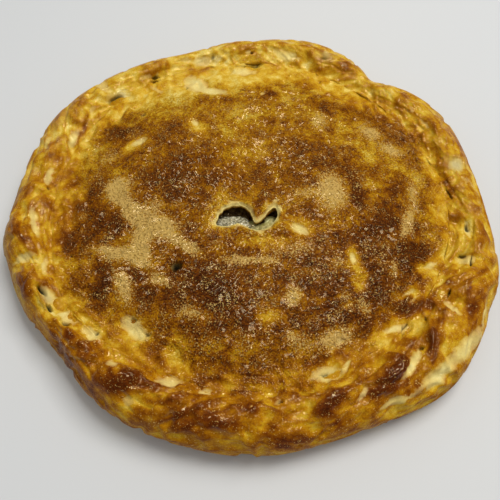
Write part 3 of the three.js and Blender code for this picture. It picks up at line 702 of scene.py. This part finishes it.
def piece_from(name, vertices, faces, material, node=None, attributes=None):
    """A mesh piece that rides on the pie. The vertices are in millimetres about the pie's own axis."""
    mesh = bpy.data.meshes.new(name)
    placed = (vertices + [AXIS_X, AXIS_Y, 0]) * METRES
    mesh.from_pydata(placed.tolist(), [], faces)
    mesh.shade_smooth()
    for key, values in (attributes or {}).items():
        mesh.attributes.new(key, "FLOAT", "POINT").data.foreach_set("value", values.astype(np.float32))
    mesh.materials.append(material)
    piece = put_in_scene(name, mesh)
    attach(piece, "root")
    if node:
        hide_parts(node)


def ring_faces(ring_count, steps, closed):
    """Quads between rings of equal length. The last ring joins the first if closed."""
    bands = ring_count if closed else ring_count - 1
    ring, step = np.meshgrid(np.arange(bands), np.arange(steps), indexing="ij")
    after_ring, after_step = (ring + 1) % ring_count, (step + 1) % steps
    corners = [ring * steps + step, ring * steps + after_step]
    corners += [after_ring * steps + after_step, after_ring * steps + step]
    return np.stack([corner.ravel() for corner in corners], axis=1).tolist()


def capped_faces(ring_count, steps):
    """Quads between rings, and fans that close the first and last ring on the next two vertices."""
    faces = ring_faces(ring_count, steps, closed=False)
    first_middle, last_middle = ring_count * steps, ring_count * steps + 1
    last = (ring_count - 1) * steps
    for step in range(steps):
        after = (step + 1) % steps
        faces.append([first_middle, after, step])
        faces.append([last_middle, last + step, last + after])
    return faces


def normals_of(grid):
    """Unit normals of a grid of places, rings by steps, whose steps run round."""
    round_it = np.roll(grid, -1, axis=1) - np.roll(grid, 1, axis=1)
    along = np.gradient(grid, axis=0)
    normal = np.cross(round_it, along)
    return normal / np.maximum(np.linalg.norm(normal, axis=2, keepdims=True), 1e-9)


def catmull_rom(points, samples):
    """Points on a smooth curve through the guide points, along the second to last axis."""
    before = np.concatenate([points[..., :1, :], points[..., :-2, :]], axis=-2)
    later = np.concatenate([points[..., 2:, :], points[..., -1:, :]], axis=-2)
    start, end = points[..., :-1, :], points[..., 1:, :]
    out_slope, in_slope = (end - before) / 2, (later - start) / 2
    made = []
    for share in np.arange(samples) / samples:
        made.append(
            (2 * share**3 - 3 * share**2 + 1) * start
            + (share**3 - 2 * share**2 + share) * out_slope
            + (-2 * share**3 + 3 * share**2) * end
            + (share**3 - share**2) * in_slope
        )
    curve = np.stack(made, axis=-2)
    curve = curve.reshape(*points.shape[:-2], -1, points.shape[-1])
    return np.concatenate([curve, points[..., -1:, :]], axis=-2)


def evenly_spaced(curve, count):
    """The same plane curve in count points an equal distance apart."""
    lengths = np.linalg.norm(np.diff(curve, axis=0), axis=1)
    along = np.concatenate([[0], np.cumsum(lengths)])
    wanted = np.linspace(0, along[-1], count)
    return np.stack([np.interp(wanted, along, curve[:, axis]) for axis in range(2)], axis=1)


# ---- rim and bottom


def rim_sections(azimuth):
    """Radius and height of the crust's outside at each azimuth, from the base up over the rim."""
    outline, crease = outline_radius(azimuth), crease_radius(azimuth)
    width = outline - crease
    top = RIM_HEIGHT + sum_of_lobes(RIM_HEIGHT_LOBES, azimuth)
    flat = np.zeros_like(azimuth)
    spread = np.minimum(sum_of_lobes(SPREAD_LOBES, azimuth), 1)
    guide = [
        (outline - 10 + 7 * spread, flat),
        (outline - 4.5 + 3 * spread, flat + 3.2 - spread),
        (outline, flat + WIDEST_HEIGHT),
        (outline - 2.5, top - 9),
        (crease + 0.72 * width, top - 2.5),
        (crease + 0.45 * width, top),
        (crease + 0.25 * width, top - 1.9),
        (crease + 0.13 * width, top - 4.1),
        (crease + 0.05 * width, flat + LIP_UNDERSIDE + LIP_EDGE + 0.25),
        (crease, flat + LIP_UNDERSIDE + LIP_EDGE),
    ]
    guide = np.stack([np.stack(point, axis=1) for point in guide], axis=1)
    curves = catmull_rom(guide, 16)
    return np.stack([evenly_spaced(curve, RIM_BANDS) for curve in curves])


def reach_over_rim(sections):
    top = sections[:, :, 1].argmax(axis=1)
    step = np.linalg.norm(sections[:, 1] - sections[:, 0], axis=1)
    down_the_wall = (top[:, None] - np.arange(sections.shape[1])) * step[:, None]
    top_radius = np.take_along_axis(sections[:, :, 0], top[:, None], axis=1)
    return np.where(down_the_wall > 0, top_radius + down_the_wall, sections[:, :, 0])


def fold_share_of_rim(height, on_wall):
    """How much of the folds shows on the rim: nothing at the base, and less at the lip."""
    at_base = np.clip(height / FOLDS_FADE_AT_BASE, 0, 1)
    at_lip = np.clip((height - LIP_UNDERSIDE - LIP_EDGE) / FOLDS_FADE_AT_LIP, FOLDS_LEFT_AT_LIP, 1)
    return np.where(on_wall, at_base, at_lip)


def rim_outside(sections, azimuths, reach, on_wall):
    """The outside with its folds, as rings by steps."""
    radius, height = sections[:, :, 0], sections[:, :, 1]
    slope = np.gradient(sections, axis=1)
    slope /= np.linalg.norm(slope, axis=2, keepdims=True)
    relief = fold_relief(azimuths, reach) * fold_share_of_rim(height, on_wall)
    folded = ring_places(radius + slope[:, :, 1] * relief, azimuths, height - slope[:, :, 0] * relief)
    return folded.transpose(1, 0, 2)


def rim_inside(azimuth):
    """Rings from the lip's edge out under the lip and down the inner wall to the floor."""
    crease = crease_radius(azimuth)
    inner_wall = crease + CAVITY_BEYOND_CREASE
    return [
        ring_places(crease + LIP_EDGE, azimuth, LIP_UNDERSIDE),
        ring_places(inner_wall, azimuth, LIP_UNDERSIDE),
        ring_places(inner_wall + 0.6, azimuth, LIP_UNDERSIDE / 2),
        ring_places(inner_wall - 3, azimuth, CRUST_THICKNESS),
    ]


def make_rim(material):
    azimuth = azimuths_round(RIM_STEPS)
    sections = rim_sections(azimuth)
    reach = reach_over_rim(sections)
    on_wall = reach > sections[:, :, 0]
    azimuths = np.broadcast_to(azimuth[:, None], reach.shape)
    outside = rim_outside(sections, azimuths, reach, on_wall)

    places = outside.reshape(-1, 3)
    crust = Crust(places, azimuths.T.ravel(), reach.T.ravel())
    above_base = smooth_step(0, 5, places[:, 2])
    most_proud = np.where(on_wall, MOST_PROUD_OF_WALL, MOST_PROUD).T.ravel()
    rise = np.minimum(crust.small_relief - INWARDS, most_proud) * above_base
    moved = places + normals_of(outside).reshape(-1, 3) * rise[:, None]

    inside = rim_inside(azimuth)
    vertices = np.concatenate([moved, *inside, [[0, 0, 0], [0, 0, CRUST_THICKNESS]]])
    faces = capped_faces(RIM_BANDS + len(inside), RIM_STEPS)
    hidden = len(vertices) - len(moved)
    attributes = {
        key: np.concatenate([values, np.full(hidden, values.mean())])
        for key, values in crust.attributes().items()
    }
    piece_from("rim_and_bottom_crust", vertices, faces, material, "bottom_crust", attributes)


# ---- lid


def lid_guides():
    """Rings seen from above: the vent's edge, a collar round it, the crease and the tucked edge."""
    azimuth = azimuths_round(LID_STEPS)
    circle = ring_places(1, azimuth, 0)[:, :2]
    crease = crease_radius(azimuth)[:, None]
    collar = np.array(VENT_CENTRE) + circle * VENT_COLLAR
    return vent_ring(LID_STEPS), collar, circle * crease, circle * (crease + LID_TUCK)


def top_plan(vent, collar, crease, tucked):
    """The rings of the lid's top seen from above, from the vent outwards."""
    collar_shares = np.arange(LID_COLLAR_BANDS) / LID_COLLAR_BANDS
    dome_shares = np.arange(LID_DOME_BANDS + 1) / LID_DOME_BANDS
    rings = [between(vent, collar, share**1.3) for share in collar_shares]
    rings += [between(collar, crease, share**0.94) for share in dome_shares]
    rings += [between(crease, tucked, share) for share in (0.3, 0.65, 1.0)]
    return np.concatenate(rings)


def underside_plan(vent, collar, crease, tucked):
    """The rings of the lid's underside seen from above, from the vent outwards."""
    rings = [between(vent, collar, share) for share in (0.03, 0.3)]
    rings += [between(collar, crease, share**0.7) for share in np.linspace(0, 1, 10)]
    return np.concatenate([*rings, tucked])


def outermost_first(values):
    """The same values, a ring at a time from the lid's edge inwards."""
    return values.reshape(-1, LID_STEPS, *values.shape[1:])[::-1].reshape(values.shape)


def make_lid(material):
    guides = lid_guides()
    x, y = top_plan(*guides).T
    height = lid_top(x, y)
    crust = Crust(np.stack([x, y, height], axis=1), azimuth_of(x, y), np.hypot(x, y))
    fillet = np.logaddexp(0, (VALLEY_HEIGHT - smooth_dome(x, y)) / VALLEY_ROUNDING) * VALLEY_ROUNDING
    fillet *= smooth_step(-30, -12, crust.beyond_crease)
    under_lip = smooth_step(0.8, 2.6, crust.beyond_crease)
    fade = fold_share_of_lid(x, y)
    missing_folds = (np.maximum(fade, FOLDS_LEFT_AT_LIP) - fade) * crust.folds
    rise = (crust.small_relief + missing_folds + fillet) * (1 - under_lip)
    top = np.stack([x, y, np.minimum(height + rise, LID_CROWN)], axis=1)

    x, y = underside_plan(*guides).T
    underside = np.stack([x, y, lid_underside(x, y)], axis=1)
    vertices = np.concatenate([underside, outermost_first(top)])
    faces = ring_faces(len(vertices) // LID_STEPS, LID_STEPS, closed=True)
    attributes = {
        key: np.concatenate([np.full(len(underside), values.mean()), outermost_first(values)])
        for key, values in crust.attributes().items()
    }
    piece_from("lid_crust_sheet", vertices, faces, material, "lid_crust", attributes)


# ---- filling


LUMP_GRAIN = {"meat": 0.16, "potato": 0.04, "onion": 0.05}
# kind, x, y, lift, half sizes, turn
FILLING_LUMPS = [
    ("meat", -12, -21.5, 2.2, (9, 5.6, 3.8), 14), ("meat", -4, -21.5, 1.6, (6, 5, 3.4), -20),
    ("potato", 3, -22, 0.8, (5, 4, 2.6), -35), ("onion", 2, -26.5, 2.0, (6, 3, 2), -10),
    ("potato", 11, -23.5, 2.0, (5, 4.4, 3), 30), ("potato", 13, -19, 1.0, (4.6, 4.4, 2.6), 50),
    ("onion", 8.5, -27, 2.2, (5.5, 2.0, 1.6), 18), ("onion", 10.5, -20.5, 2.6, (5, 1.2, 1.6), 52),
    ("meat", -5, -33, 0.5, (6, 4.5, 2.5), 5),
]
# The rings of the filling's top, as shares of the way from the vent's middle to the brim.
FILLING_RINGS = [*np.linspace(1, 0.28, 12), *np.linspace(0.27, 0.004, 46)]


def make_filling(materials):
    azimuth = azimuths_round(FILLING_STEPS)
    crease = crease_radius(azimuth)
    wall = crease + CAVITY_BEYOND_CREASE
    floor = CRUST_THICKNESS + FILLING_GAP
    rings = [
        ring_places(wall - 4.5, azimuth, floor),
        ring_places(wall - 1, azimuth, floor + 4),
        ring_places(wall - 1.5, azimuth, LID_EDGE_TOP - LID_THICKNESS - FILLING_GAP),
    ]
    brim = ring_places(crease - LID_FLAT_INSIDE_CREASE, azimuth, 0)
    for share in FILLING_RINGS:
        ring = between(np.array([*VENT_CENTRE, 0]), brim, share)
        ring[:, 2] = filling_top(ring[:, 0], ring[:, 1])
        ring[:, 2] += (layered(ring, FILLING_GRAIN) - 0.3) * smooth_step(0.5, 0.3, share)
        rings.append(ring)
    middles = [[0, 0, floor], [*VENT_CENTRE, filling_top(*VENT_CENTRE)]]
    vertices = np.concatenate([*rings, middles])
    faces = capped_faces(len(rings), FILLING_STEPS)
    # the core's dark colour is painted shade under the lid
    piece_from("filling_core", vertices, faces, materials["shaded_filling"], "filling")
    for number, (kind, *lump) in enumerate(FILLING_LUMPS):
        make_lump(number, kind, *lump, materials[kind])


def make_lump(number, kind, x, y, lift, size, turn, material):
    """One bit of the filling: an uneven egg-shaped mesh, sunk partly into the rest."""
    up, around = np.meshgrid(
        np.radians(np.linspace(-90, 90, LUMP_RINGS)), azimuths_round(LUMP_STEPS), indexing="ij"
    )
    shape = ring_places(np.cos(up), around, np.sin(up)).reshape(-1, 3) * size
    uneven = layered(shape + number * 20, [(LUMP_GRAIN[kind], 2.2, 71), (0.12, 5, 72)])
    shape *= 1 + uneven[:, None]
    along, across = turned(shape[:, 0], shape[:, 1], -turn)
    vertices = np.stack([x + along, y + across, filling_top(x, y) + lift + shape[:, 2]], axis=1)
    faces = ring_faces(LUMP_RINGS, LUMP_STEPS, closed=False)
    piece_from(f"{kind}_{number}", vertices, faces, material)


# ---- materials

# Screen colours, 0 to 255. The first two lists give one for each browning stop.
BROWNING_STOPS = (0.0, 0.12, 0.25, 0.37, 0.50, 0.62, 0.74, 0.86, 1.0)
RIM_COLOURS = [
    (242, 222, 146), (230, 200, 96), (214, 172, 48), (196, 145, 20), (172, 112, 6),
    (144, 84, 2), (118, 59, 2), (92, 39, 2), (60, 22, 4),
]
LID_COLOURS = [
    (242, 222, 146), (230, 200, 96), (214, 172, 50), (197, 145, 20), (172, 114, 6),
    (147, 87, 3), (119, 62, 4), (93, 44, 8), (60, 26, 8),
]
SANDY_COLOUR = (220, 181, 102)
SANDY_SPECK_COLOUR = (134, 90, 24)
PALE_COLOUR = (234, 216, 146)
GREY_COLOUR = (158, 140, 104)
# painted shade inside the pinholes and slits
PAINTED_SHADE_IN_HOLES_COLOUR = (14, 9, 3)

FINE_SIZE = 1.0
GRAIN_SIZE = 0.8
SPECK_SIZE = 1.1
MOTTLE_SIZE = 3.0
FINE_BUMP = 1.2
MOTTLE_BUMP = 1.8


def linear(screen_colour):
    """A colour for a shader from its screen values."""
    channels = np.array(screen_colour) / 255
    curved = ((channels + 0.055) / 1.055) ** 2.4
    return (*np.where(channels > 0.04, curved, channels / 12.92).tolist(), 1.0)


class Nodes:
    """Short calls for building a material's nodes."""

    def __init__(self, name):
        self.material = bpy.data.materials.new(name)
        self.material.use_nodes = True
        self.tree = self.material.node_tree
        self.shader = self.tree.nodes["Principled BSDF"]

    def add(self, kind, **settings):
        node = self.tree.nodes.new(kind)
        for key, value in settings.items():
            setattr(node, key, value)
        return node

    def link(self, start, end):
        self.tree.links.new(start, end)

    def attribute(self, name):
        return self.add("ShaderNodeAttribute", attribute_name=name).outputs["Fac"]

    def put(self, socket, value):
        if isinstance(value, bpy.types.NodeSocket):
            self.link(value, socket)
        else:
            socket.default_value = value

    def math(self, operation, first, second, clamp=False):
        node = self.add("ShaderNodeMath", operation=operation, use_clamp=clamp)
        self.put(node.inputs[0], first)
        self.put(node.inputs[1], second)
        return node.outputs[0]

    def plus(self, first, second, clamp=False):
        return self.math("ADD", first, second, clamp)

    def times(self, first, second):
        return self.math("MULTIPLY", first, second)

    def mix(self, share, first, second):
        node = self.add("ShaderNodeMix", data_type="RGBA")
        self.put(node.inputs["Factor"], share)
        self.put(node.inputs["A"], first)
        self.put(node.inputs["B"], second)
        return node.outputs["Result"]

    def noise(self, size_mm, detail, roughness, distortion=0.0):
        node = self.add("ShaderNodeTexNoise")
        node.inputs["Distortion"].default_value = distortion
        node.inputs["Scale"].default_value = 1 / (size_mm * METRES)
        node.inputs["Detail"].default_value = detail
        node.inputs["Roughness"].default_value = roughness
        places = self.add("ShaderNodeTexCoord").outputs["Object"]
        self.link(places, node.inputs["Vector"])
        return node.outputs["Fac"]

    def between(self, value, low, high, low_out=0.0, high_out=1.0):
        node = self.add("ShaderNodeMapRange")
        self.put(node.inputs["Value"], value)
        node.inputs["From Min"].default_value = low
        node.inputs["From Max"].default_value = high
        node.inputs["To Min"].default_value = low_out
        node.inputs["To Max"].default_value = high_out
        return node.outputs["Result"]

    def ramp(self, value, stops, colours):
        node = self.add("ShaderNodeValToRGB")
        elements = node.color_ramp.elements
        elements[0].position, elements[0].color = stops[0], linear(colours[0])
        elements[1].position, elements[1].color = stops[-1], linear(colours[-1])
        for stop, colour in zip(stops[1:-1], colours[1:-1]):
            elements.new(stop).color = linear(colour)
        self.put(node.inputs["Fac"], value)
        return node.outputs["Color"]

    def bump(self, height, distance_mm, normal=None):
        node = self.add("ShaderNodeBump")
        node.inputs["Strength"].default_value = 1.0
        node.inputs["Distance"].default_value = distance_mm * METRES
        self.link(height, node.inputs["Height"])
        if normal:
            self.link(normal, node.inputs["Normal"])
        return node.outputs["Normal"]


def crust_material(name, browning_colours, most_glaze, glaze_roughness):
    nodes = Nodes(name)
    # The browning attribute carries painted light and shade as well as the oven's browning.
    browning_and_painted_light, sandy, pale, grey, holes, blisters = (
        nodes.attribute(key) for key in ("browning_and_painted_light", "sandy", "pale", "grey", "holes", "blisters")
    )
    fine = nodes.noise(FINE_SIZE, 2.0, 0.6)
    grain = nodes.noise(GRAIN_SIZE, 1.0, 0.5)
    speckle = nodes.noise(SPECK_SIZE, 1.0, 0.5)
    mottle = nodes.noise(MOTTLE_SIZE, 3.0, 0.6, distortion=1.2)

    def by_blisters(value, on_smooth_dough, on_blisters):
        return nodes.times(value, nodes.between(blisters, 0, 1, on_smooth_dough, on_blisters))

    shade = nodes.plus(browning_and_painted_light, by_blisters(nodes.between(fine, 0.38, 0.62, -1, 1), 0.05, 0.12))
    mottling = by_blisters(nodes.between(mottle, 0.3, 0.7, -1, 1), 0.03, 0.11)
    colour = nodes.ramp(nodes.plus(shade, mottling, clamp=True), BROWNING_STOPS, browning_colours)
    ragged = nodes.between(grain, 0.3, 0.7, -0.4, 0.4)
    ragged = nodes.plus(ragged, nodes.between(mottle, 0.3, 0.7, -0.25, 0.25))
    sand_share = nodes.between(nodes.plus(sandy, ragged), 0.30, 0.55)
    specks = nodes.between(speckle, 0.36, 0.46, 0.7, 0.0)
    sand = nodes.mix(specks, linear(SANDY_COLOUR), linear(SANDY_SPECK_COLOUR))
    pale_share = nodes.times(nodes.between(pale, 0.3, 0.9), 0.6)
    for share, covering in [
        (nodes.times(sand_share, 0.85), sand),
        (pale_share, linear(PALE_COLOUR)),
        (nodes.times(grey, 0.6), linear(GREY_COLOUR)),
        # painted shade inside the pinholes and slits
        (holes, linear(PAINTED_SHADE_IN_HOLES_COLOUR)),
    ]:
        colour = nodes.mix(share, colour, covering)

    shader = nodes.shader
    nodes.link(colour, shader.inputs["Base Color"])
    nodes.link(nodes.between(fine, 0.3, 0.7, 0.34, 0.5), shader.inputs["Roughness"])
    shader.inputs["Specular IOR Level"].default_value = 0.05
    nodes.link(nodes.times(nodes.attribute("glaze"), most_glaze), shader.inputs["Coat Weight"])
    shader.inputs["Coat Roughness"].default_value = glaze_roughness
    normal = nodes.bump(by_blisters(fine, 0.25, 1.0), FINE_BUMP)
    normal = nodes.bump(by_blisters(mottle, 0.2, 1.0), MOTTLE_BUMP, normal)
    nodes.link(normal, shader.inputs["Normal"])
    return nodes.material


def filling_material(name, grain_mm, dark, middle, light):
    nodes = Nodes(name)
    grain = nodes.noise(grain_mm, 3.0, 0.6)
    colour = nodes.ramp(grain, (0.35, 0.5, 0.65), (dark, middle, light))
    nodes.link(colour, nodes.shader.inputs["Base Color"])
    nodes.shader.inputs["Roughness"].default_value = 0.35
    nodes.shader.inputs["Coat Weight"].default_value = 0.6
    nodes.shader.inputs["Coat Roughness"].default_value = 0.1
    nodes.link(nodes.bump(grain, FINE_BUMP), nodes.shader.inputs["Normal"])
    return nodes.material


def filling_materials():
    return {
        # The filling's core is coloured dark brown as painted shade in the cavity under the lid.
        "shaded_filling": filling_material("filling_in_painted_shade", 2, (58, 32, 8), (96, 66, 24), (140, 112, 60)),
        "meat": filling_material("minced_meat", 1.3, (96, 88, 60), (168, 160, 126), (222, 216, 192)),
        "potato": filling_material("boiled_potato", 3, (150, 138, 74), (176, 164, 98), (206, 196, 132)),
        "onion": filling_material("stewed_onion", 4, (170, 164, 96), (200, 196, 132), (226, 224, 174)),
    }


# ---- stage, light and camera, in metres

COUNTER_HALF_SIDE = 3.0
COUNTER_COLOUR = (0.65, 0.66, 0.665, 1)
COUNTER_ROUGHNESS = 0.55

KEY_LIGHT = {"place": (0.70, 0.55, 1.9), "size": 1.1, "power": 34.0, "colour": (1.0, 0.985, 0.96)}
# Lamps that only glint in the glaze.
GLINT = {"size": 0.16, "power": 2.6, "colour": (1.0, 0.80, 0.48)}
GLINT_PLACES = [
    (-0.55, 0.35, 1.1), (-0.20, 0.75, 1.15), (0.20, 1.1, 1.0), (0.40, 0.55, 1.2), (0.75, 0.15, 1.0),
    (0.05, 0.15, 1.3), (0.30, -0.20, 1.3),
]
ROOM_COLOUR = (0.95, 0.98, 1.0, 1)
ROOM_STRENGTH = 0.42

CAMERA_ELEVATION = 60
CAMERA_DISTANCE = 0.385
CAMERA_AIM = (0.0008, -0.0199, 0.0)
FIELD_OF_VIEW = 45
SENSOR_WIDTH_MM = 36


def make_stage():
    mesh = bpy.data.meshes.new("counter")
    side = COUNTER_HALF_SIDE
    corners = [(-side, -side, 0), (side, -side, 0), (side, side, 0), (-side, side, 0)]
    mesh.from_pydata(corners, [], [(0, 1, 2, 3)])
    nodes = Nodes("pale_counter")
    nodes.shader.inputs["Base Color"].default_value = COUNTER_COLOUR
    nodes.shader.inputs["Roughness"].default_value = COUNTER_ROUGHNESS
    mesh.materials.append(nodes.material)
    floor = put_in_scene("counter", mesh)


def look_along(thing, direction):
    thing.rotation_mode = "QUATERNION"
    thing.rotation_quaternion = Vector(direction).to_track_quat("-Z", "Y")


def add_light(name, place, size, power, colour):
    """An area light that shines at the frame's origin."""
    data = bpy.data.lights.new(name, "AREA")
    data.size = size
    data.energy = power
    data.color = colour
    light = put_in_scene(name, data)
    light.location = place
    look_along(light, -Vector(place))
    return light


def make_light():
    key = add_light("key", **KEY_LIGHT)
    key.visible_glossy = False
    for place in GLINT_PLACES:
        glint = add_light("glint", place, **GLINT)
        glint.visible_diffuse = False
    world = bpy.data.worlds.new("room")
    world.use_nodes = True
    background = world.node_tree.nodes["Background"]
    background.inputs["Color"].default_value = ROOM_COLOUR
    background.inputs["Strength"].default_value = ROOM_STRENGTH
    world.cycles_visibility.glossy = False
    bpy.context.scene.world = world
    bpy.context.scene.view_settings.view_transform = "Standard"


def make_camera():
    data = bpy.data.cameras.new("camera")
    data.sensor_width = SENSOR_WIDTH_MM
    data.lens = SENSOR_WIDTH_MM / 2 / math.tan(math.radians(FIELD_OF_VIEW / 2))
    camera = put_in_scene("camera", data)
    elevation = math.radians(CAMERA_ELEVATION)
    back = Vector((0, -math.cos(elevation), math.sin(elevation)))
    camera.location = Vector(CAMERA_AIM) + back * CAMERA_DISTANCE
    look_along(camera, -back)
    bpy.context.scene.camera = camera


# ---- the pie

make_rim(crust_material("baked_rim", RIM_COLOURS, most_glaze=0.5, glaze_roughness=0.07))
make_lid(crust_material("browned_lid", LID_COLOURS, most_glaze=0.22, glaze_roughness=0.1))
make_filling(filling_materials())
make_stage()
make_light()
make_camera()
